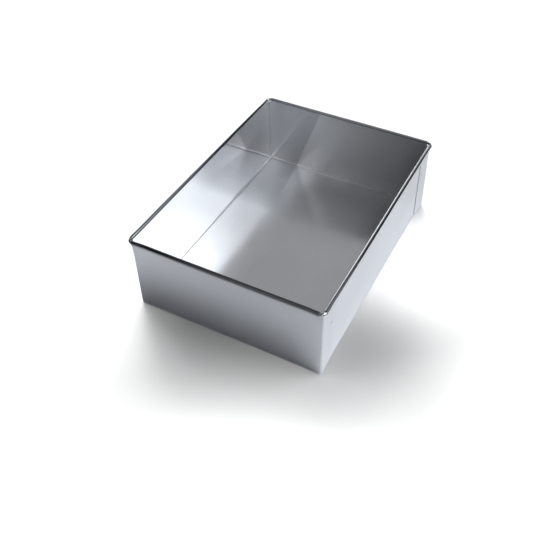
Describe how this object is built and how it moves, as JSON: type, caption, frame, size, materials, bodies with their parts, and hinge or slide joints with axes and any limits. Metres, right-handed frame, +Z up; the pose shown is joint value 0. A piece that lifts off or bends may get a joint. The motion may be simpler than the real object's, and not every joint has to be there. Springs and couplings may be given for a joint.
{
  "type": "rectangular cake pan",
  "caption": "Deep rectangular cake pan folded from bright sheet metal, with lapped corners and a rim rolled over a stiff wire.",
  "frame": {"origin": "middle of the underside of the floor, on the surface that the pan stands on", "axes": "+Z up out of the open top, +Y along the long side, +X across the short side"},
  "size_m": [0.1868, 0.2568, 0.08],
  "materials": {
    "sheet": "bright rolled, lightly satin",
    "wire": "drawn, slightly dull"
  },
  "bodies": {
    "root": {"pan_sheet": "sheet", "rim_wire": "wire"}
  },
  "joints": []
}
